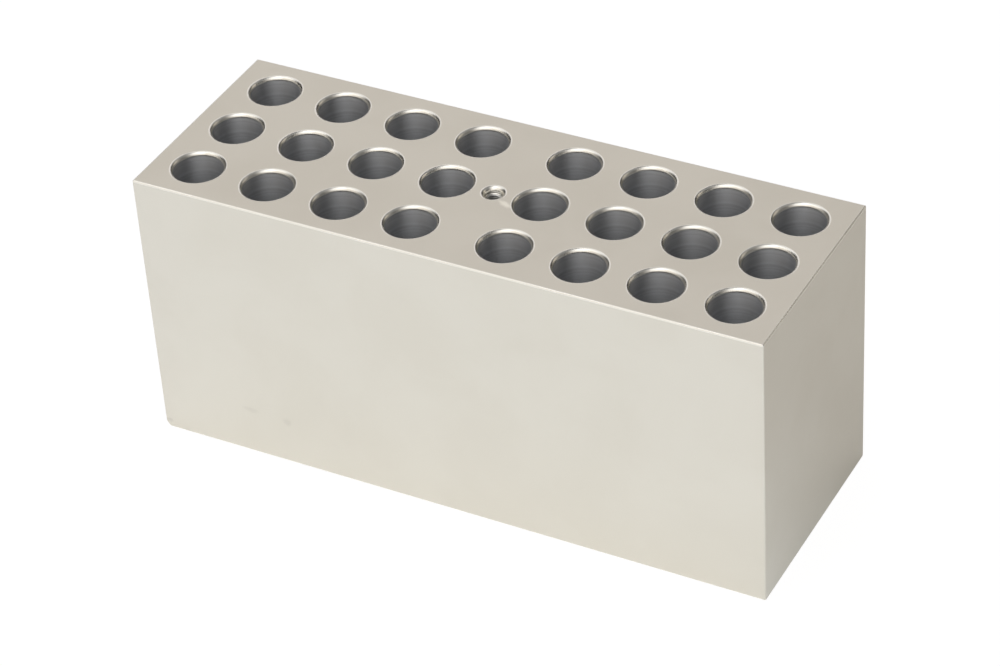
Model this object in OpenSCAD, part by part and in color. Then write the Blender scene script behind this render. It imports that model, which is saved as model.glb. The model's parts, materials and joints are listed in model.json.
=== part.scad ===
// Sample block for a dry block heater: a machined aluminium block that holds
// test tubes in round wells and passes heat to them. A threaded insert in the
// middle of its top takes the tool that lifts the hot block out of the heater.
//
// Millimetres, +Z up. The origin is the centre of the underside, X runs along
// the block and Y across it.

/* [Block] */
// Length of the block, along X
block_length = 140; // [136:1:180]
// Width of the block, along Y
block_width = 50; // [46:0.5:80]
// Height of the block, along Z
block_height = 63.5; // [58:0.5:100]
// Radius of the round along every outer edge
edge_radius = 0.35; // [0.1:0.05:1]

/* [Wells] */
// Bore of a well, which leaves a 10 mm tube free to slide
well_diameter = 10.5; // [8:0.1:12.5]
// Depth of a well, from the top of the block to the lowest point of its round end
well_depth = 52; // [20:0.5:54]
// Radius of the round edge at the mouth of a well, which guides a tube in
well_rim_radius = 0.8; // [0.1:0.05:1]
// Wells along each half of a row
wells_per_half_row = 4; // [1:1:4]
// Rows of wells across the block
well_rows = 3; // [1:1:3]
// Distance between the centres of neighbouring wells of one half row
pitch_along = 16.5; // [13.5:0.1:17.4]
// Distance between the centre lines of neighbouring rows
pitch_across = 15.5; // [13.5:0.1:17.5]
// Distance between the two wells on either side of the middle of a row
middle_gap = 21; // [18:0.5:26]

/* [Lifting hole] */
// Thread that the lifting tool's screw has, outside diameter
thread_diameter = 3; // [2.5:0.5:4]
// Pitch of that thread
thread_pitch = 0.5; // [0.4:0.05:0.7]
// Length of the thread insert
insert_length = 6; // [3:0.5:10]
// Depth of the insert's upper end below the top of the block
insert_inset = 1; // [0.5:0.1:2]
// Thread left free below the insert
thread_run_out = 1.5; // [0.5:0.1:3]
// Depth of the drilled hole below the thread, down to its cone
drill_run_out = 2.5; // [1:0.1:5]
// Angle of the drill's point
drill_point_angle = 118; // [90:1:135]
// Radius of the round edge at the mouth of the lifting hole, which guides the screw in
lifting_rim_radius = 1; // [0.1:0.1:1.5]
// Radial room between the insert and its hole
insert_clearance = 0.01; // [0:0.005:0.05]
// Width of the lead-in at each end of the insert
insert_lead_in = 0.15; // [0.05:0.05:0.2]

/* [Hidden] */

$fn = 96;

// Length by which a cutter stands out of the face that it cuts
overcut = 1;

well_radius = well_diameter / 2;

// Radii of an ISO thread of 60 degrees: the crests of the internal thread that
// the screw runs in, the outside of the wire insert that carries it, and the
// drill for that insert's own thread
insert_bore_radius = (thread_diameter - 1.0825 * thread_pitch) / 2;
insert_outer_radius = (thread_diameter + 1.299 * thread_pitch) / 2;
tap_drill_radius = (thread_diameter + 0.2165 * thread_pitch) / 2;

lifting_hole_radius = insert_outer_radius + insert_clearance;
thread_depth = insert_inset + insert_length + thread_run_out;
drill_depth = thread_depth + drill_run_out;
drill_cone_height = tap_drill_radius / tan(drill_point_angle / 2);

// Centres of the columns along X, in two groups on either side of the middle
columns_x = [
    for (side = [-1, 1], step = [0 : wells_per_half_row - 1])
        side * (middle_gap / 2 + step * pitch_along)
];

// Centres of the rows along Y
rows_y = [
    for (row = [0 : well_rows - 1])
        (row - (well_rows - 1) / 2) * pitch_across
];

// Rectangle of the given sides with its four corners rounded
module rounded_rectangle(side_x, side_y, radius) {
    square([side_x - 2 * radius, side_y], center = true);
    square([side_x, side_y - 2 * radius], center = true);
    for (x = [-1, 1], y = [-1, 1])
        translate([x * (side_x / 2 - radius), y * (side_y / 2 - radius)])
            circle(r = radius);
}

// The bar as squared and deburred, before any hole is made. Each of the three
// outlines rounds the four edges that run along its own direction.
module bar() {
    intersection() {
        linear_extrude(block_height)
            rounded_rectangle(block_length, block_width, edge_radius);
        translate([0, 0, block_height / 2])
            rotate([90, 0, 0])
                linear_extrude(block_width, center = true)
                    rounded_rectangle(block_length, block_height, edge_radius);
        translate([0, 0, block_height / 2])
            rotate([90, 0, 90])
                linear_extrude(block_length, center = true)
                    rounded_rectangle(block_width, block_height, edge_radius);
    }
}

// Half section of the rounded mouth of a hole that has its wall at hole_radius
// and opens into a flat face at z = 0
module rounded_mouth(hole_radius, rim_radius) {
    difference() {
        translate([0, -rim_radius])
            square([hole_radius + rim_radius, rim_radius + overcut]);
        translate([hole_radius + rim_radius, -rim_radius])
            circle(r = rim_radius);
    }
}

// What the reamer and its ball nose take out of the block for one well. Its
// mouth lies at z = 0 and its axis on the Z axis.
module well_cutter() {
    rotate_extrude() {
        translate([0, well_radius - well_depth])
            intersection() {
                circle(r = well_radius);
                translate([0, -well_radius])
                    square([well_radius, well_radius]);
            }
        translate([0, well_radius - well_depth])
            square([well_radius, well_depth - well_radius]);
        rounded_mouth(well_radius, well_rim_radius);
    }
}

// What the drill and the tap take out for the lifting tool's thread, seen as the
// envelope of the tapped thread
module lifting_hole_cutter() {
    rotate_extrude() {
        polygon([
            [0, -drill_depth - drill_cone_height],
            [tap_drill_radius, -drill_depth],
            [tap_drill_radius, -thread_depth],
            [lifting_hole_radius, -thread_depth],
            [lifting_hole_radius, 0],
            [0, 0]
        ]);
        rounded_mouth(lifting_hole_radius, lifting_rim_radius);
    }
}

module sample_block() {
    color([0.76, 0.74, 0.70])
        difference() {
            bar();
            translate([0, 0, block_height]) {
                for (x = columns_x, y = rows_y)
                    translate([x, y, 0])
                        well_cutter();
                lifting_hole_cutter();
            }
        }
}

// The wire insert as the sleeve that its coil fills, with its lead-ins
module lifting_thread_insert() {
    color([0.60, 0.61, 0.62])
        translate([0, 0, block_height - insert_inset - insert_length])
            rotate_extrude()
                polygon([
                    [insert_bore_radius + insert_lead_in, 0],
                    [insert_outer_radius - insert_lead_in, 0],
                    [insert_outer_radius, insert_lead_in],
                    [insert_outer_radius, insert_length - insert_lead_in],
                    [insert_outer_radius - insert_lead_in, insert_length],
                    [insert_bore_radius + insert_lead_in, insert_length],
                    [insert_bore_radius, insert_length - insert_lead_in],
                    [insert_bore_radius, insert_lead_in]
                ]);
}

sample_block();
lifting_thread_insert();
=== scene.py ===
"""Dresses the sample block of a dry block heater and sets it on a plain pale floor.

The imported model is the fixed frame. The sizes and places of the block, its wells and
its lifting thread are read from that frame and its record, in metres. The classes
below remodel the block with its deburred edges and its wire thread insert, and give
each surface the finish that its tool left.
"""

import json
import logging
import math
from dataclasses import dataclass, field
from enum import Enum

import bmesh
import bpy
from mathutils import Matrix, Vector


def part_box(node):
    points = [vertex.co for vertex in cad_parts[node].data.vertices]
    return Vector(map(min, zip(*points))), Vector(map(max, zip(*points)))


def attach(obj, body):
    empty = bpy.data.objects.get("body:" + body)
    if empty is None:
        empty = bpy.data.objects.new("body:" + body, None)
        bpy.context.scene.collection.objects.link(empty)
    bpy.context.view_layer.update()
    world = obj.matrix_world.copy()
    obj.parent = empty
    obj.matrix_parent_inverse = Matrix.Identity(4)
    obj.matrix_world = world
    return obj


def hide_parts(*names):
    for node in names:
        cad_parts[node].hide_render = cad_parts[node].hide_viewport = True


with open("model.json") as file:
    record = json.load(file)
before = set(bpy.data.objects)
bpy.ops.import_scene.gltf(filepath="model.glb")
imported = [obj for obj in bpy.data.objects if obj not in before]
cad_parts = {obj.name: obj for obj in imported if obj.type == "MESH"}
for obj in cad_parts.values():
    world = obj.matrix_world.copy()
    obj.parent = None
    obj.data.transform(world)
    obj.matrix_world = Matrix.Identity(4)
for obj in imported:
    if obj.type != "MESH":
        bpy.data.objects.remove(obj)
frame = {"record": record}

LOG = logging.getLogger("sample_block")

MM = 0.001

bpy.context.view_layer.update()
BLOCK_LOW, BLOCK_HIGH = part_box("sample_block")
THREAD_PITCH = 0.5 * MM

Triple = tuple[float, float, float]
Socket = bpy.types.NodeSocket

X_AXIS = (1, 0, 0)
Y_AXIS = (0, 1, 0)
Z_AXIS = (0, 0, 1)
WHITE = (1.0, 1.0, 1.0, 1.0)


# --------------------------------------------------------------------------
# Node trees
# --------------------------------------------------------------------------


class Wiring:
    """A node tree that is being wired, with short calls for its usual nodes."""

    # The colour sockets of a Mix node share their names with others, so they go by number.
    mix_a = 6
    mix_b = 7
    mix_result = 2

    def __init__(self, tree: bpy.types.NodeTree) -> None:
        """Starts from an empty tree.

        Args:
            tree: The material's, world's or group's node tree.
        """
        self.tree = tree
        tree.nodes.clear()

    def node(
        self, kind: str, inputs: dict[str | int, object] | None = None, **settings: object
    ) -> bpy.types.Node:
        """Adds a node and sets it up.

        Args:
            kind: The node's type, such as ShaderNodeTexNoise.
            inputs: Socket name or number to a plain value, or to the socket that feeds it.
            settings: The node's own properties.

        Returns:
            The new node.
        """
        made = self.tree.nodes.new(kind)
        for name, value in settings.items():
            setattr(made, name, value)
        for name, value in (inputs or {}).items():
            self.feed(made.inputs[name], value)
        return made

    def feed(self, socket: Socket, value: object) -> None:
        """Links a socket to another one, or sets its plain value.

        Args:
            socket: The socket that is fed.
            value: The socket that feeds it, or a plain value.
        """
        if isinstance(value, Socket):
            self.tree.links.new(value, socket)
        else:
            socket.default_value = value

    def math(self, operation: str, *values: object) -> Socket:
        """Adds a Math node and returns its output.

        Args:
            operation: The node's operation, such as MULTIPLY.
            values: Its one to three inputs, in order, as numbers or sockets.

        Returns:
            The output socket.
        """
        return self.node("ShaderNodeMath", dict(enumerate(values)), operation=operation).outputs[0]

    def share(self, part: float, a: Socket, b: Socket) -> Socket:
        """Adds up two values in proportion, with part of a and the rest of b."""
        return self.math("MULTIPLY_ADD", a, part, self.math("MULTIPLY", b, 1.0 - part))

    def ramp(
        self, value: Socket, low: float, high: float, to_low: float = 0.0, to_high: float = 1.0
    ) -> Socket:
        """Maps low..high smoothly to to_low..to_high.

        Args:
            value: The socket that is mapped.
            low: The value that gives to_low.
            high: The value that gives to_high.
            to_low: The result at low.
            to_high: The result at high.

        Returns:
            The output socket.
        """
        made = self.node(
            "ShaderNodeMapRange",
            {"Value": value, "From Min": low, "From Max": high, "To Min": to_low, "To Max": to_high},
            interpolation_type="SMOOTHSTEP",
        )
        return made.outputs["Result"]

    def blend(self, factor: object, a: object, b: object) -> Socket:
        """Mixes two colours and returns the result's socket."""
        sockets = {"Factor": factor, self.mix_a: a, self.mix_b: b}
        return self.node("ShaderNodeMix", sockets, data_type="RGBA").outputs[self.mix_result]

    def noise(
        self, point: Socket, scale: object, detail: float, roughness: float = 0.5, distortion: float = 0.0
    ) -> Socket:
        """Adds noise in space.

        Args:
            point: Where it is read.
            scale: How many waves it has in each unit of the point.
            detail: How many finer waves are laid over the first.
            roughness: How strong each finer wave is.
            distortion: How far the waves are warped.

        Returns:
            Its value, 0 to 1.
        """
        sockets = {
            "Vector": point,
            "Scale": scale,
            "Detail": detail,
            "Roughness": roughness,
            "Distortion": distortion,
        }
        return self.node("ShaderNodeTexNoise", sockets).outputs[0]

    def noise_along(self, place: Socket, detail: float, roughness: float = 0.5) -> Socket:
        """Adds noise along a line, with a wave in each unit, and returns its value, 0 to 1."""
        sockets = {"W": place, "Scale": 1.0, "Detail": detail, "Roughness": roughness}
        return self.node("ShaderNodeTexNoise", sockets, noise_dimensions="1D").outputs[0]

    def object_point(self) -> Socket:
        """Returns the Object coordinate, which is the place in the row frame, in metres."""
        return self.node("ShaderNodeTexCoord").outputs["Object"]

    def seen_directly(self, path: bpy.types.Node) -> Socket:
        """Returns 1 on rays from the camera or through glass, from a Light Path node."""
        return self.math("MAXIMUM", path.outputs["Is Camera Ray"], path.outputs["Is Transmission Ray"])

    def group(self, tree: bpy.types.NodeTree, inputs: dict[str, object]) -> bpy.types.Node:
        """Places a node group with its own values and returns its node.

        Args:
            tree: The group.
            inputs: Socket name to a plain value, or to the socket that feeds it.

        Returns:
            The group's node.
        """
        made = self.tree.nodes.new("ShaderNodeGroup")
        made.node_tree = tree
        for name, value in inputs.items():
            self.feed(made.inputs[name], value)
        return made

    def show(self, kind: str, shader: Socket) -> None:
        """Ends the tree with an output node of a kind, fed by its shader."""
        self.node(kind, {"Surface": shader})


class Effect:
    """A shader node group with named inputs and outputs, built once and shared."""

    def __init__(self, name: str) -> None:
        """Makes the empty group.

        Args:
            name: The group's name.
        """
        self.tree = bpy.data.node_groups.new(name, "ShaderNodeTree")
        self.wiring = Wiring(self.tree)
        self.entry = self.tree.nodes.new("NodeGroupInput")
        self.exit = self.tree.nodes.new("NodeGroupOutput")

    def vector_in(self, name: str) -> Socket:
        """Declares a vector input and returns its socket inside the group."""
        self.tree.interface.new_socket(name, in_out="INPUT", socket_type="NodeSocketVector")
        return self.entry.outputs[name]

    def value_in(self, name: str, default: float) -> Socket:
        """Declares a number input with a default and returns its socket inside the group."""
        made = self.tree.interface.new_socket(name, in_out="INPUT", socket_type="NodeSocketFloat")
        made.default_value = default
        return self.entry.outputs[name]

    def value_out(self, name: str, value: Socket) -> None:
        """Declares a number output and links it."""
        self.tree.interface.new_socket(name, in_out="OUTPUT", socket_type="NodeSocketFloat")
        self.tree.links.new(value, self.exit.inputs[name])


def blasted_grain() -> bpy.types.NodeTree:
    """Builds the fine even grain that blasting with beads leaves on aluminium.

    Returns:
        A group from a point and a grain size to a Height and a Fleck, both 0 to 1.
    """
    coarse_rate = 0.23
    coarse_share = 0.45
    effect = Effect("blasted_grain")
    point = effect.vector_in("Point")
    size = effect.value_in("Grain Size", 0.25 * MM)
    w = effect.wiring
    rate = w.math("DIVIDE", 1.0, size)
    pits = w.noise(point, rate, detail=3.0, roughness=0.6)
    coarse = w.noise(point, w.math("MULTIPLY", rate, coarse_rate), detail=2.0)
    effect.value_out("Height", w.share(coarse_share, coarse, pits))
    effect.value_out("Fleck", w.ramp(pits, low=0.40, high=0.62))
    return effect.tree


def tool_rings() -> bpy.types.NodeTree:
    """Builds the rings that a turning tool leaves round the axis of a vertical hole.

    The rings of neighbouring holes differ a little, because their heights wander with
    the place.

    Returns:
        A group from a point and a ring spacing to a Height and a Streak, both 0 to 1.
    """
    wander_rate = 60.0
    wander_rings = 0.9
    broad_rate = 0.21
    broad_share = 0.4
    effect = Effect("tool_rings")
    point = effect.vector_in("Point")
    spacing = effect.value_in("Spacing", 0.4 * MM)
    w = effect.wiring
    level = w.node("ShaderNodeSeparateXYZ", {"Vector": point}).outputs["Z"]
    place = w.noise(point, wander_rate, detail=1.0)
    wander = w.math("MULTIPLY", place, w.math("MULTIPLY", spacing, wander_rings))
    along = w.math("DIVIDE", w.math("ADD", level, wander), spacing)
    fine = w.noise_along(along, detail=3.0, roughness=0.7)
    broad = w.noise_along(w.math("MULTIPLY", along, broad_rate), detail=1.0)
    effect.value_out("Height", fine)
    effect.value_out("Streak", w.ramp(w.share(broad_share, broad, fine), low=0.35, high=0.65))
    return effect.tree


def tapped_thread() -> bpy.types.NodeTree:
    """Builds the helical V thread that a tap cuts round the Z axis.

    Returns:
        A group from a point, a pitch and a flank slope to a Height, in metres.
    """
    effect = Effect("tapped_thread")
    point = effect.vector_in("Point")
    pitch = effect.value_in("Pitch", THREAD_PITCH)
    slope = effect.value_in("Flank Slope", 1.0)
    w = effect.wiring
    parts = w.node("ShaderNodeSeparateXYZ", {"Vector": point})
    turn = w.math("DIVIDE", w.math("ARCTAN2", parts.outputs["Y"], parts.outputs["X"]), math.tau)
    climb = w.math("SUBTRACT", parts.outputs["Z"], w.math("MULTIPLY", turn, pitch))
    wave = w.math("PINGPONG", climb, w.math("MULTIPLY", pitch, 0.5))
    effect.value_out("Height", w.math("MULTIPLY", wave, slope))
    return effect.tree


def handling_marks() -> bpy.types.NodeTree:
    """Builds the faint broad patches that hands and heat leave on bare metal.

    Returns:
        A group from a point and a patch size to a Patch, 0 to 1.
    """
    effect = Effect("handling_marks")
    point = effect.vector_in("Point")
    size = effect.value_in("Patch Size", 22 * MM)
    w = effect.wiring
    broad = w.noise(point, w.math("DIVIDE", 1.0, size), detail=4.0, roughness=0.55, distortion=0.4)
    effect.value_out("Patch", w.ramp(broad, low=0.35, high=0.68))
    return effect.tree


def rubbed_spot() -> bpy.types.NodeTree:
    """Builds a small spot with a ragged soft edge, such as a knock or a rub leaves.

    Returns:
        A group from a point, in half lengths of the spot from its middle, and a
        raggedness to a Mask, 0 to 1.
    """
    effect = Effect("rubbed_spot")
    point = effect.vector_in("Point")
    ragged = effect.value_in("Raggedness", 0.8)
    w = effect.wiring
    away = w.node("ShaderNodeVectorMath", {0: point}, operation="LENGTH").outputs["Value"]
    edge = w.noise(point, scale=1.3, detail=2.0)
    uneven = w.math("MULTIPLY_ADD", w.math("SUBTRACT", edge, 0.5), ragged, away)
    effect.value_out("Mask", w.ramp(uneven, low=0.25, high=1.1, to_low=1.0, to_high=0.0))
    return effect.tree


@dataclass
class Effects:
    """The node groups that the finishes share."""

    grain: bpy.types.NodeTree = field(default_factory=blasted_grain)
    rings: bpy.types.NodeTree = field(default_factory=tool_rings)
    thread: bpy.types.NodeTree = field(default_factory=tapped_thread)
    marks: bpy.types.NodeTree = field(default_factory=handling_marks)
    spot: bpy.types.NodeTree = field(default_factory=rubbed_spot)


# --------------------------------------------------------------------------
# Finishes
# --------------------------------------------------------------------------


class Tool(Enum):
    """The tool that left a surface of the part, as the name of its material."""

    BLASTING = "blasted_aluminium"
    DEBURRING = "deburred_edge"
    REAMER = "reamed_bore"
    DRILL = "drilled_bore"
    TAP = "tapped_wall"
    WIRE_DRAWING = "drawn_steel"


@dataclass(frozen=True)
class Spot:
    """A small mark, such as a rub, a knock or a pale streak, by its middle, its half lengths and its turn
    about Z.
    """

    middle: Triple
    half_lengths: Triple
    colour: Triple
    strength: float
    turn: float = 0.0

    def over(self, w: Wiring, effects: Effects, colour: Socket) -> Socket:
        """Lays the spot over a colour.

        Args:
            w: The material's wiring.
            effects: The shared node groups.
            colour: The colour of the surface round the spot.

        Returns:
            The socket of the colour with the spot on it.
        """
        placed = w.node(
            "ShaderNodeMapping",
            {
                "Vector": w.object_point(),
                "Location": self.middle,
                "Rotation": (0.0, 0.0, self.turn),
                "Scale": self.half_lengths,
            },
            vector_type="TEXTURE",
        )
        mask = w.group(effects.spot, {"Point": placed.outputs["Vector"]}).outputs["Mask"]
        return w.blend(w.math("MULTIPLY", mask, self.strength), colour, (*self.colour, 1.0))


@dataclass(frozen=True)
class Finish:
    """How one surface of the part looks: its metal, its shine and its marks."""

    tool: Tool
    colour: Triple
    dull_colour: Triple
    roughness: float
    roughness_spread: float
    grain_size: float
    grain_depth: float
    ring_spacing: float = 0.0
    ring_depth: float = 0.0
    axial_spread: float = 0.0
    thread_pitch: float = 0.0
    thread_slope: float = 1.2
    patch_size: float = 22 * MM
    spots: tuple[Spot, ...] = ()

    fleck_share = 0.35
    streak_share = 0.6

    def surface(self, w: Wiring, effects: Effects) -> tuple[Socket, Socket]:
        """Wires the grain, the patches, the tool's rings and the thread.

        Args:
            w: The material's wiring.
            effects: The shared node groups.

        Returns:
            How dull the surface is, 0 to 1, and how high it stands, in metres.
        """
        point = w.object_point()
        grain = w.group(effects.grain, {"Point": point, "Grain Size": self.grain_size})
        marks = w.group(effects.marks, {"Point": point, "Patch Size": self.patch_size})
        dull = w.share(self.fleck_share, grain.outputs["Fleck"], marks.outputs["Patch"])
        height = w.math("MULTIPLY", grain.outputs["Height"], self.grain_depth)
        if self.ring_depth:
            rings = w.group(effects.rings, {"Point": point, "Spacing": self.ring_spacing})
            dull = w.share(self.streak_share, rings.outputs["Streak"], dull)
            height = w.math("MULTIPLY_ADD", rings.outputs["Height"], self.ring_depth, height)
        if self.thread_pitch:
            form = {"Point": point, "Pitch": self.thread_pitch, "Flank Slope": self.thread_slope}
            height = w.math("ADD", height, w.group(effects.thread, form).outputs["Height"])
        return dull, height

    def material(self, effects: Effects) -> bpy.types.Material:
        """Builds the finish as a material.

        Args:
            effects: The shared node groups.

        Returns:
            The material, named after the tool.
        """
        made = bpy.data.materials.new(self.tool.value)
        made.use_nodes = True
        w = Wiring(made.node_tree)
        dull, height = self.surface(w, effects)
        colour = w.blend(dull, (*self.colour, 1.0), (*self.dull_colour, 1.0))
        for spot in self.spots:
            colour = spot.over(w, effects, colour)
        bump = w.node("ShaderNodeBump", {"Height": height, "Distance": 1.0, "Strength": 1.0})
        shader = w.node(
            "ShaderNodeBsdfPrincipled",
            {
                "Base Color": colour,
                "Metallic": 1.0,
                "Roughness": w.math("MULTIPLY_ADD", dull, self.roughness_spread, self.roughness),
                "Normal": bump.outputs["Normal"],
            },
        )
        if self.axial_spread:
            shader.inputs["Anisotropic"].default_value = self.axial_spread
            w.feed(shader.inputs["Tangent"], w.node("ShaderNodeCombineXYZ", {"Z": 1.0}).outputs[0])
        w.show("ShaderNodeOutputMaterial", shader.outputs["BSDF"])
        return made


def in_metres(x: float, y: float, z: float) -> Triple:
    """Returns a place or a size in metres from one in millimetres."""
    return (x * MM, y * MM, z * MM)


def on_front(x: float, z: float) -> Triple:
    """Returns a place on the block's front face, from X and Z in millimetres."""
    return (x * MM, BLOCK_LOW.y, z * MM)


def on_top(x: float, y: float) -> Triple:
    """Returns a place on the block's top face, from X and Y in millimetres."""
    return (x * MM, y * MM, BLOCK_HIGH.z)


DULLED = (0.68, 0.645, 0.575)
# Near-white colour of the small streak on the top beside the lifting hole
PALE_STREAK = (0.99, 0.955, 0.86)

# Two faint rubs low on the front, the scuff beside its knocked corner, and a small
# # near-white streak on the top beside the lifting hole, lighter than the blasted face
WEAR_AND_PALE_STREAK = (
    Spot(on_front(-47.7, 11.2), in_metres(2.4, 2, 0.9), DULLED, 0.5),
    Spot(on_front(-38.9, 10.6), in_metres(1.3, 2, 1.2), DULLED, 0.65),
    Spot(on_front(-68.9, 1.9), in_metres(1.0, 1.5, 0.7), DULLED, 1.0),
    Spot(on_top(4.0, -2.7), in_metres(2.2, 0.9, 2), PALE_STREAK, 1.0, turn=-0.45),
)

FINISHES = (
    Finish(
        tool=Tool.BLASTING,
        colour=(0.770, 0.738, 0.660),
        dull_colour=(0.750, 0.716, 0.636),
        roughness=0.40,
        roughness_spread=0.05,
        grain_size=0.25 * MM,
        grain_depth=0.012 * MM,
        spots=WEAR_AND_PALE_STREAK,
    ),
    Finish(
        tool=Tool.DEBURRING,
        colour=(0.96, 0.94, 0.88),
        dull_colour=(0.93, 0.91, 0.85),
        roughness=0.26,
        roughness_spread=0.06,
        grain_size=0.20 * MM,
        grain_depth=0.006 * MM,
    ),
    Finish(
        tool=Tool.REAMER,
        colour=(0.63, 0.645, 0.675),
        dull_colour=(0.49, 0.50, 0.52),
        roughness=0.54,
        roughness_spread=0.10,
        grain_size=0.20 * MM,
        grain_depth=0.002 * MM,
        ring_spacing=0.60 * MM,
        ring_depth=0.06 * MM,
        axial_spread=0.8,
    ),
    Finish(
        tool=Tool.DRILL,
        colour=(0.70, 0.69, 0.66),
        dull_colour=(0.60, 0.59, 0.56),
        roughness=0.30,
        roughness_spread=0.10,
        grain_size=0.15 * MM,
        grain_depth=0.003 * MM,
        ring_spacing=0.25 * MM,
        ring_depth=0.010 * MM,
    ),
    Finish(
        tool=Tool.TAP,
        colour=(0.84, 0.82, 0.77),
        dull_colour=(0.74, 0.72, 0.67),
        roughness=0.24,
        roughness_spread=0.08,
        grain_size=0.15 * MM,
        grain_depth=0.001 * MM,
        thread_pitch=THREAD_PITCH,
    ),
    Finish(
        tool=Tool.WIRE_DRAWING,
        colour=(0.66, 0.655, 0.64),
        dull_colour=(0.60, 0.595, 0.58),
        roughness=0.36,
        roughness_spread=0.08,
        grain_size=0.10 * MM,
        grain_depth=0.001 * MM,
        patch_size=3 * MM,
    ),
)


# --------------------------------------------------------------------------
# Shapes
# --------------------------------------------------------------------------


def finished_object(
    name: str, shape: bmesh.types.BMesh, materials: list[bpy.types.Material]
) -> bpy.types.Object:
    """Makes a shape an object of the scene, with smooth faces.

    Args:
        name: The object's name.
        shape: The finished shape, which is freed.
        materials: Its material slots, in the order of its faces' indices.

    Returns:
        The object, at the origin.
    """
    mesh = bpy.data.meshes.new(name)
    for face in shape.faces:
        face.smooth = True
    shape.to_mesh(mesh)
    shape.free()
    for material in materials:
        mesh.materials.append(material)
    made = bpy.data.objects.new(name, mesh)
    bpy.context.scene.collection.objects.link(made)
    return made


def everything(shape: bmesh.types.BMesh) -> list:
    """Returns all vertices, edges and faces of a shape."""
    return shape.verts[:] + shape.edges[:] + shape.faces[:]


def round_edges(
    shape: bmesh.types.BMesh, edges: list[bmesh.types.BMEdge], radius: float, steps: int
) -> None:
    """Rounds some edges of a shape.

    Args:
        shape: The shape.
        edges: The edges.
        radius: How far each round reaches into the faces beside its edge.
        steps: Faces across each round.
    """
    bmesh.ops.bevel(
        shape,
        geom=edges,
        offset=radius,
        offset_type="OFFSET",
        segments=steps,
        profile=0.5,
        affect="EDGES",
        clamp_overlap=True,
        material=-1,
    )


def trace(
    shape: bmesh.types.BMesh, start: bmesh.types.BMVert, points: list[tuple[float, float]]
) -> bmesh.types.BMVert:
    """Draws straight edges in the XZ plane from a vertex through some points.

    Args:
        shape: The bmesh that is drawn in.
        start: The vertex that the line leaves.
        points: Pairs of X and Z, in metres.

    Returns:
        The last vertex.
    """
    for x, z in points:
        made = bmesh.ops.extrude_vert_indiv(shape, verts=[start])["verts"][0]
        made.co = (x, 0, z)
        start = made
    return start


def trace_arc(
    shape: bmesh.types.BMesh,
    start: bmesh.types.BMVert,
    centre: Triple,
    axis: Triple,
    angle: float,
    steps: int,
) -> bmesh.types.BMVert:
    """Draws an arc from a vertex.

    Args:
        shape: The bmesh that is drawn in.
        start: The vertex that the arc leaves.
        centre: The arc's centre.
        axis: The direction that the arc turns about.
        angle: How far it turns.
        steps: Edges along it.

    Returns:
        The last vertex.
    """
    arc = bmesh.ops.spin(
        shape,
        geom=[start],
        cent=centre,
        axis=axis,
        dvec=(0, 0, 0),
        angle=angle,
        steps=steps,
        use_merge=False,
    )
    return next(v for v in arc["geom_last"] if isinstance(v, bmesh.types.BMVert))


def revolve(profile: bmesh.types.BMesh, steps: int, weld: float = 1e-7) -> None:
    """Turns a profile in the XZ plane once round the Z axis, into a closed solid.

    Args:
        profile: Edges from one point of the axis to another, which become the solid.
        steps: Faces round the axis.
        weld: The distance within which vertices become one.
    """
    bmesh.ops.spin(
        profile,
        geom=profile.verts[:] + profile.edges[:],
        cent=(0, 0, 0),
        axis=Z_AXIS,
        dvec=(0, 0, 0),
        angle=math.tau,
        steps=steps,
        use_merge=True,
    )
    bmesh.ops.remove_doubles(profile, verts=profile.verts[:], dist=weld)
    bmesh.ops.recalc_face_normals(profile, faces=profile.faces[:])


# --------------------------------------------------------------------------
# The part
# --------------------------------------------------------------------------


@dataclass(frozen=True)
class Hole:
    """A round vertical hole, by its axis and the two ends of its wall."""

    x: float
    y: float
    radius: float
    wall_top: float
    wall_length: float

    @classmethod
    def from_mount(cls, mount: dict) -> "Hole":
        """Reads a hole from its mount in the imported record.

        Args:
            mount: A round mount whose place is the upper end of its wall.

        Returns:
            The hole.
        """
        x, y, z = mount["pos_m"]
        return cls(x, y, mount["dims"]["r_mm"] * MM, z, mount["dims"]["length_mm"] * MM)

    @property
    def wall_bottom(self) -> float:
        """Height of the lower end of the wall."""
        return self.wall_top - self.wall_length


def mounts_named(start: str) -> list[Hole]:
    """Returns the holes of the record's mounts whose names begin with start."""
    return [Hole.from_mount(m) for m in frame["record"]["mounts"] if m["name"].startswith(start)]


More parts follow.
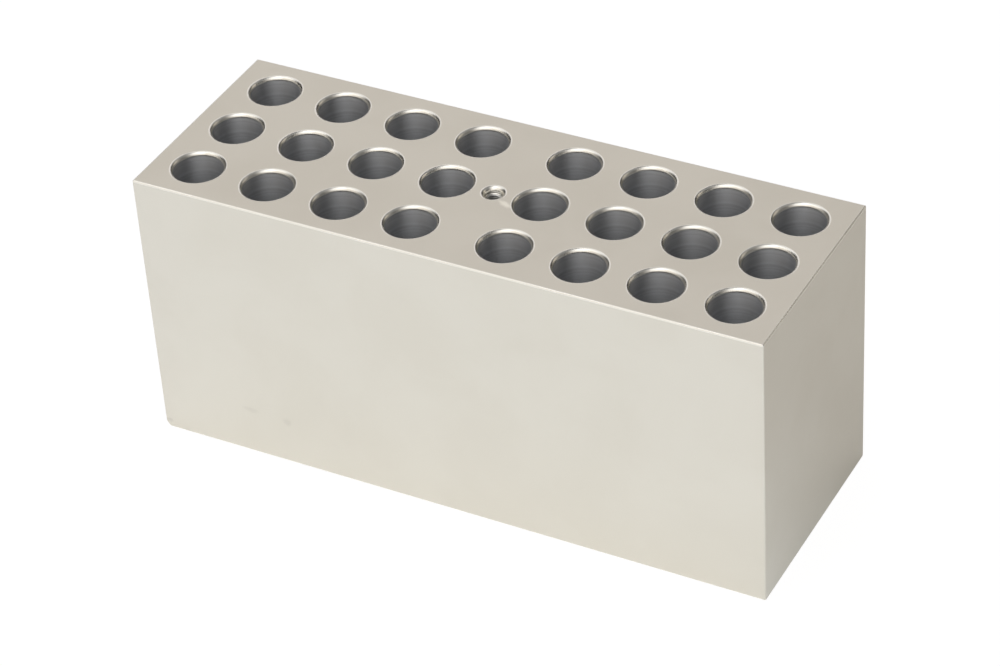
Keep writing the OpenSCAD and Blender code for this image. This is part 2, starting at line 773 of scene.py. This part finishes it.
@dataclass
class SampleBlock:
    """The machined block: a squared bar with broken edges, its wells and its lifting hole.

    The frame gives its box, its wells and its thread. The other sizes of its edges and
    its lifting hole are those of the CAD model.
    """

    low: Vector
    high: Vector
    wells: list[Hole]
    thread: Hole
    insert_low: Vector
    insert_high: Vector
    edge_radius: float = 0.35 * MM
    edge_steps: int = 4
    knocked_corner: float = 0.9 * MM
    knock_direction: Triple = (0.75, 0.35, 0.56)
    keen_least: float = math.radians(32)
    keen_most: float = math.radians(62)
    keen_radius: float = 0.04 * MM
    keen_steps: int = 2
    rim_steps: int = 8
    rim_slope: float = math.radians(5)
    well_faces: int = 96
    well_end_rings: int = 12
    lifting_faces: int = 48
    lifting_rim_radius: float = 1.0 * MM
    thread_run_out: float = 1.5 * MM
    drill_run_out: float = 2.5 * MM
    drill_radius: float = 1.554 * MM
    drill_slope: float = math.tan(math.radians(31))
    insert_room: float = 0.01 * MM
    overcut: float = 1.0 * MM
    weld: float = 1e-6
    sharp_angle: float = math.radians(70)
    flat_cosine: float = 0.99
    upright_sine: float = 0.01

    name = "sample_block_machined"
    node = "sample_block"
    tools = (Tool.BLASTING, Tool.DEBURRING, Tool.REAMER, Tool.DRILL, Tool.TAP)

    @property
    def rim_radius(self) -> float:
        """Radius of the round edge at the mouth of a well."""
        return self.high.z - self.wells[0].wall_top

    def left_by(self, tool: Tool) -> int:
        """Returns the index of the material of the faces that a tool left."""
        return self.tools.index(tool)

    def between_holes(self, axis: int) -> list[float]:
        """Finds the places midway between the mouths of neighbouring holes.

        Args:
            axis: 0 along X, or 1 along Y.

        Returns:
            The places along that axis, in rising order.
        """
        mouths = [(well, self.rim_radius) for well in self.wells]
        mouths.append((self.thread, self.lifting_rim_radius))
        reach = {}
        for hole, rim in mouths:
            place = round((hole.x, hole.y)[axis], 6)
            reach[place] = max(reach.get(place, 0.0), hole.radius + rim)
        places = sorted(reach)
        return [(a + reach[a] + b - reach[b]) / 2 for a, b in zip(places, places[1:])]

    def bar(self) -> bmesh.types.BMesh:
        """Models the squared bar with its edges rounded and one corner knocked.

        Cuts between the holes divide it into cells, so that each face holds one hole
        at most. The upright edges are blasted like the faces, and the level ones are
        deburred bright.

        Returns:
            The bar, with the material of each face set.
        """
        shape = bmesh.new()
        bmesh.ops.create_cube(shape, size=1.0)
        bmesh.ops.scale(shape, vec=self.high - self.low, verts=shape.verts[:])
        bmesh.ops.translate(shape, vec=(self.high + self.low) / 2, verts=shape.verts[:])
        round_edges(shape, shape.edges[:], self.edge_radius, self.edge_steps)
        self.knock(shape)
        for axis, normal in enumerate((X_AXIS, Y_AXIS)):
            for place in self.between_holes(axis):
                bmesh.ops.bisect_plane(
                    shape,
                    geom=everything(shape),
                    plane_co=Vector(normal) * place,
                    plane_no=normal,
                )
        for face in shape.faces:
            flat = max(abs(n) for n in face.normal) > self.flat_cosine
            upright = abs(face.normal.z) < self.upright_sine
            face.material_index = self.left_by(Tool.BLASTING if flat or upright else Tool.DEBURRING)
        return shape

    def knock(self, shape: bmesh.types.BMesh) -> None:
        """Blunts the lower left front corner, where the block was once set down hard.

        Args:
            shape: The bar, which is cut.
        """
        inwards = Vector(self.knock_direction).normalized()
        cut = bmesh.ops.bisect_plane(
            shape,
            geom=everything(shape),
            plane_co=self.low + inwards * self.knocked_corner,
            plane_no=inwards,
            clear_inner=True,
        )
        rim = [e for e in cut["geom_cut"] if isinstance(e, bmesh.types.BMEdge)]
        bmesh.ops.holes_fill(shape, edges=rim, sides=0)

    def open_mouth(
        self, shape: bmesh.types.BMesh, wall_foot: bmesh.types.BMVert, radius: float
    ) -> float:
        """Carries a hole's profile up its wall, round the edge of its mouth and back to the axis.

        Args:
            shape: The profile that is drawn on.
            wall_foot: The vertex at the foot of the wall.
            radius: Radius of the mouth's round edge.

        Returns:
            The height where the round edge begins.
        """
        rim_low = self.high.z - radius * math.cos(self.rim_slope)
        wall_end = trace(shape, wall_foot, [(wall_foot.co.x, rim_low)])
        centre = (wall_end.co.x + radius, 0, rim_low)
        rim = trace_arc(shape, wall_end, centre, Y_AXIS, math.pi / 2 - self.rim_slope, self.rim_steps)
        top = rim.co.z + self.overcut * math.tan(self.rim_slope)
        trace(shape, rim, [(rim.co.x + self.overcut, top), (0, top)])
        return rim_low

    def well_cutter(self) -> bmesh.types.BMesh:
        """Models what one well takes out of the block.

        Returns:
            The closed cutter, with the well's axis on the Z axis.
        """
        well = self.wells[0]
        shape = bmesh.new()
        tip = shape.verts.new((0, 0, well.wall_bottom - well.radius))
        centre = (0, 0, well.wall_bottom)
        wall_foot = trace_arc(shape, tip, centre, (0, -1, 0), math.pi / 2, self.well_end_rings)
        rim_low = self.open_mouth(shape, wall_foot, self.rim_radius)
        revolve(shape, self.well_faces)
        for face in shape.faces:
            on_rim = face.calc_center_median().z > rim_low
            face.material_index = self.left_by(Tool.DEBURRING if on_rim else Tool.REAMER)
        return shape

    def lifting_cutter(self) -> bmesh.types.BMesh:
        """Models what the drill and the tap take out for the thread insert.

        Returns:
            The closed cutter, with the hole's axis on the Z axis.
        """
        radius = self.insert_high.x + self.insert_room
        foot = self.insert_low.z - self.thread_run_out
        drill_end = foot - self.drill_run_out
        shape = bmesh.new()
        tip = shape.verts.new((0, 0, drill_end - self.drill_radius * self.drill_slope))
        wall_foot = trace(
            shape, tip, [(self.drill_radius, drill_end), (self.drill_radius, foot), (radius, foot)]
        )
        rim_low = self.open_mouth(shape, wall_foot, self.lifting_rim_radius)
        revolve(shape, self.lifting_faces)
        for face in shape.faces:
            middle = face.calc_center_median().z
            if middle > rim_low:
                tool = Tool.DEBURRING
            elif middle > foot:
                tool = Tool.TAP
            else:
                tool = Tool.DRILL
            face.material_index = self.left_by(tool)
        return shape

    def cutters(self) -> bmesh.types.BMesh:
        """Puts a cutter at the place of each hole.

        Returns:
            All cutters, as separate closed solids.
        """
        made = bmesh.new()
        for source, holes in ((self.well_cutter(), self.wells), (self.lifting_cutter(), [self.thread])):
            mesh = bpy.data.meshes.new("cutter")
            source.to_mesh(mesh)
            source.free()
            for hole in holes:
                before = len(made.verts)
                made.from_mesh(mesh)
                made.verts.ensure_lookup_table()
                bmesh.ops.translate(made, vec=(hole.x, hole.y, 0), verts=made.verts[before:])
            bpy.data.meshes.remove(mesh)
        return made

    def cut(self, finishes: list[bpy.types.Material]) -> bmesh.types.BMesh:
        """Takes the wells and the lifting hole out of the bar.

        Args:
            finishes: The materials of the bar's and the cutters' faces.

        Returns:
            The block as a closed shape.
        """
        block = finished_object("bar", self.bar(), finishes)
        cutters = finished_object("cutters", self.cutters(), finishes)
        modifier = block.modifiers.new("wells", "BOOLEAN")
        modifier.operation = "DIFFERENCE"
        modifier.solver = "EXACT"
        modifier.material_mode = "INDEX"
        modifier.object = cutters
        graph = bpy.context.evaluated_depsgraph_get()
        cut_mesh = bpy.data.meshes.new_from_object(block.evaluated_get(graph))
        shape = bmesh.new()
        shape.from_mesh(cut_mesh)
        bpy.data.meshes.remove(cut_mesh)
        for leftover in (block, cutters):
            mesh = leftover.data
            bpy.data.objects.remove(leftover)
            bpy.data.meshes.remove(mesh)
        bmesh.ops.remove_doubles(shape, verts=shape.verts[:], dist=self.weld)
        return shape

    def round_keen_edges(self, shape: bmesh.types.BMesh) -> None:
        """Rounds the keen edges at the knocked corner and the drill's point by a hair.

        Args:
            shape: The block, which is changed.
        """
        keen = [
            edge
            for edge in shape.edges
            if edge.is_manifold and self.keen_least < edge.calc_face_angle() < self.keen_most
        ]
        round_edges(shape, keen, self.keen_radius, self.keen_steps)

    def build(self, materials: dict[Tool, bpy.types.Material]) -> bpy.types.Object:
        """Models the block, dresses it and puts it in the frame.

        Args:
            materials: The finishes by the tool that leaves them.

        Returns:
            The block's object.
        """
        finishes = [materials[tool] for tool in self.tools]
        shape = self.cut(finishes)
        self.round_keen_edges(shape)
        piece = finished_object(self.name, shape, finishes)
        piece.data.set_sharp_from_angle(angle=self.sharp_angle)
        normals = piece.modifiers.new("flat_faces_lead", "WEIGHTED_NORMAL")
        normals.mode = "FACE_AREA"
        normals.weight = 50
        normals.keep_sharp = True
        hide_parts(self.node)
        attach(piece, "root")
        return piece


@dataclass
class ThreadInsert:
    """The coil of diamond-shaped steel wire that lines the lifting hole."""

    low: Vector
    high: Vector
    bore: Hole
    pitch: float = THREAD_PITCH
    steps_per_turn: int = 48
    sharp_angle: float = math.radians(25)

    name = "lifting_thread_coil"
    node = "lifting_thread_insert"

    @property
    def half_width(self) -> float:
        """Half the wire's height where it is widest and the turns nearly touch."""
        return self.pitch * 7 / 16

    def section(self) -> list[tuple[float, float]]:
        """Draws the wire's outline.

        Its inner half is an internal thread of 60 degrees, and its outer half the
        matching external one.

        Returns:
            Six corners, as radius and height about the wire's middle.
        """
        inner_flat, outer_flat = self.pitch / 8, self.pitch / 16
        slope = math.tan(math.radians(30))
        inner = self.bore.radius
        middle = inner + (self.half_width - inner_flat) / slope
        outer = self.high.x
        return [
            (inner, -inner_flat),
            (middle, -self.half_width),
            (outer, -outer_flat),
            (outer, outer_flat),
            (middle, self.half_width),
            (inner, inner_flat),
        ]

    def build(self, materials: dict[Tool, bpy.types.Material]) -> bpy.types.Object:
        """Winds the wire up the hole, dresses it and puts it in the frame.

        Args:
            materials: The finishes by the tool that leaves them.

        Returns:
            The coil's object.
        """
        travel = (self.high.z - self.low.z) - 2 * self.half_width
        turns = travel / self.pitch
        steps = round(turns * self.steps_per_turn)
        base = self.low.z + self.half_width
        shape = bmesh.new()
        outline = [shape.verts.new((r, 0, base + z)) for r, z in self.section()]
        start = shape.faces.new(outline)
        bmesh.ops.spin(
            shape,
            geom=[start],
            cent=(self.bore.x, self.bore.y, 0),
            axis=Z_AXIS,
            dvec=(0, 0, travel / steps),
            angle=math.tau * turns,
            steps=steps,
            use_merge=False,
        )
        bmesh.ops.recalc_face_normals(shape, faces=shape.faces[:])
        piece = finished_object(self.name, shape, [materials[Tool.WIRE_DRAWING]])
        piece.data.set_sharp_from_angle(angle=self.sharp_angle)
        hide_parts(self.node)
        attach(piece, "root")
        return piece


# --------------------------------------------------------------------------
# The studio
# --------------------------------------------------------------------------


@dataclass(frozen=True)
class SoftBox:
    """A square soft light that faces the block."""

    name: str
    direction: Triple
    side: float
    radiance: float
    colour: Triple = (1.0, 1.0, 1.0)
    distance: float = 1.3

    def build(self, target: Vector) -> None:
        """Hangs the light.

        Args:
            target: The point that it faces.
        """
        data = bpy.data.lights.new(self.name, "AREA")
        data.shape = "SQUARE"
        data.size = self.side
        data.energy = self.radiance * math.pi * self.side**2
        data.color = self.colour
        made = bpy.data.objects.new(self.name, data)
        away = Vector(self.direction).normalized()
        made.location = target + away * self.distance
        made.rotation_euler = away.to_track_quat("Z", "Y").to_euler()
        bpy.context.scene.collection.objects.link(made)


@dataclass(frozen=True)
class Glow:
    """A broad pale glow that is strongest on one side and fades smoothly to nothing.

    In the surroundings it reaches a right angle away from its side. On the floor it
    fades across the line through the origin, over reach to either side.
    """

    side: Triple
    colour: Triple
    reach: float = 0.0

    def light(self, w: Wiring, place: Socket) -> Socket:
        """Wires the glow's light.

        Args:
            w: The wiring of what glows.
            place: The direction in the surroundings, or the place on the floor.

        Returns:
            The socket of the light's colour.
        """
        side = Vector(self.side).normalized()
        facing = w.node("ShaderNodeVectorMath", {0: place, 1: side}, operation="DOT_PRODUCT")
        level = w.ramp(facing.outputs["Value"], -self.reach, self.reach or 1.0)
        made = w.node("ShaderNodeVectorMath", {0: self.colour, "Scale": level}, operation="SCALE")
        return made.outputs["Vector"]


@dataclass
class Studio:
    """The floor, the surroundings and the lights."""

    target: Vector
    floor_side: float = 6.0
    floor_colour: Triple = (0.92, 0.92, 0.92)
    floor_white: float = 1.08
    shadow_share: float = 0.12
    floor_glow: Glow = Glow((0.0, -1.0, 0.0), (0.33, 0.36, 0.40), 52 * MM)
    sky_glow: Glow = Glow((0.0, -1.0, 0.25), (0.89, 0.84, 0.77))
    soft_boxes: tuple[SoftBox, ...] = (
        SoftBox("back_left", (-0.39, 0.67, 0.60), 1.2, 0.81, (1.0, 0.967, 0.95)),
        SoftBox("back_right", (0.60, 0.68, 0.42), 0.7, 0.55, (1.0, 0.90, 0.76)),
        SoftBox("front_right", (0.30, -0.65, 0.70), 1.2, 0.40, (0.90, 0.95, 1.0)),
        SoftBox("top_left", (-0.42, -0.10, 0.90), 1.2, 0.78),
        SoftBox("overhead", (0.10, -0.25, 0.96), 0.8, 0.70),
        SoftBox("top_right", (0.55, 0.35, 0.76), 1.0, 0.22),
    )

    def floor(self) -> None:
        """Lays the pale floor.

        The camera sees a plain white, with a share of the painted floor in it that keeps
        the block's soft shadow. The metal mirrors the paint and the floor's glow.
        """
        shape = bmesh.new()
        bmesh.ops.create_grid(shape, x_segments=1, y_segments=1, size=self.floor_side / 2)
        material = bpy.data.materials.new("pale_floor")
        material.use_nodes = True
        w = Wiring(material.node_tree)
        path = w.node("ShaderNodeLightPath")
        whitened = w.math("MULTIPLY", w.seen_directly(path), 1.0 - self.shadow_share)
        paint = w.node("ShaderNodeBsdfDiffuse", {"Color": (*self.floor_colour, 1.0)})
        white = w.node("ShaderNodeEmission", {"Strength": self.floor_white})
        seen = w.node("ShaderNodeMixShader", {0: whitened, 1: paint.outputs[0], 2: white.outputs[0]})
        pool = self.floor_glow.light(w, w.object_point())
        mirrored = w.node("ShaderNodeEmission", {"Color": pool, "Strength": path.outputs["Is Glossy Ray"]})
        both = w.node("ShaderNodeAddShader", {0: seen.outputs[0], 1: mirrored.outputs[0]})
        w.show("ShaderNodeOutputMaterial", both.outputs[0])
        finished_object("floor", shape, [material])

    def world(self) -> None:
        """Lights the surroundings with a broad glow, and makes them white to the camera."""
        world = bpy.data.worlds.new("surroundings")
        bpy.context.scene.world = world
        world.use_nodes = True
        w = Wiring(world.node_tree)
        path = w.node("ShaderNodeLightPath")
        direction = w.node("ShaderNodeTexCoord").outputs["Generated"]
        colour = w.blend(w.seen_directly(path), self.sky_glow.light(w, direction), WHITE)
        sky = w.node("ShaderNodeBackground", {"Color": colour, "Strength": 1.0})
        w.show("ShaderNodeOutputWorld", sky.outputs[0])

    def build(self) -> None:
        """Builds the floor, the surroundings and the lights."""
        self.floor()
        self.world()
        for box in self.soft_boxes:
            box.build(self.target)
        bpy.context.scene.view_settings.view_transform = "Standard"


@dataclass(frozen=True)
class Camera:
    """The viewpoint, by its place, the angles of its axis in degrees, and its lens."""

    place: Triple = (0.27663, -0.48391, 0.44496)
    azimuth: float = 29.816
    elevation: float = 36.772
    roll: float = -3.872
    lens: float = 121.42
    sensor: float = 36.0
    nearest: float = 0.01
    farthest: float = 50.0

    def build(self) -> None:
        """Sets the camera up as the scene's own."""
        data = bpy.data.cameras.new("camera")
        data.lens = self.lens
        data.sensor_width = self.sensor
        data.sensor_fit = "HORIZONTAL"
        data.clip_start = self.nearest
        data.clip_end = self.farthest
        made = bpy.data.objects.new("camera", data)
        turn = (
            Matrix.Rotation(math.radians(self.azimuth), 4, "Z")
            @ Matrix.Rotation(math.radians(90 - self.elevation), 4, "X")
            @ Matrix.Rotation(math.radians(self.roll), 4, "Z")
        )
        made.matrix_world = Matrix.Translation(self.place) @ turn
        bpy.context.scene.collection.objects.link(made)
        bpy.context.scene.camera = made


def main() -> None:
    """Builds the studio, the camera and the part's pieces, and reports each piece."""
    logging.basicConfig(level=logging.INFO, format="%(message)s")
    effects = Effects()
    materials = {finish.tool: finish.material(effects) for finish in FINISHES}
    insert_low, insert_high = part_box(ThreadInsert.node)
    wells = mounts_named("well_")
    thread = mounts_named("lifting_thread")[0]
    Camera().build()
    Studio(target=(BLOCK_LOW + BLOCK_HIGH) / 2).build()
    pieces = [
        SampleBlock(BLOCK_LOW, BLOCK_HIGH, wells, thread, insert_low, insert_high).build(materials),
        ThreadInsert(insert_low, insert_high, thread).build(materials),
    ]
    for piece in pieces:
        mesh = piece.data
        LOG.info("%s: %d faces, %d finishes", piece.name, len(mesh.polygons), len(mesh.materials))


if __name__ == "__main__":
    main()
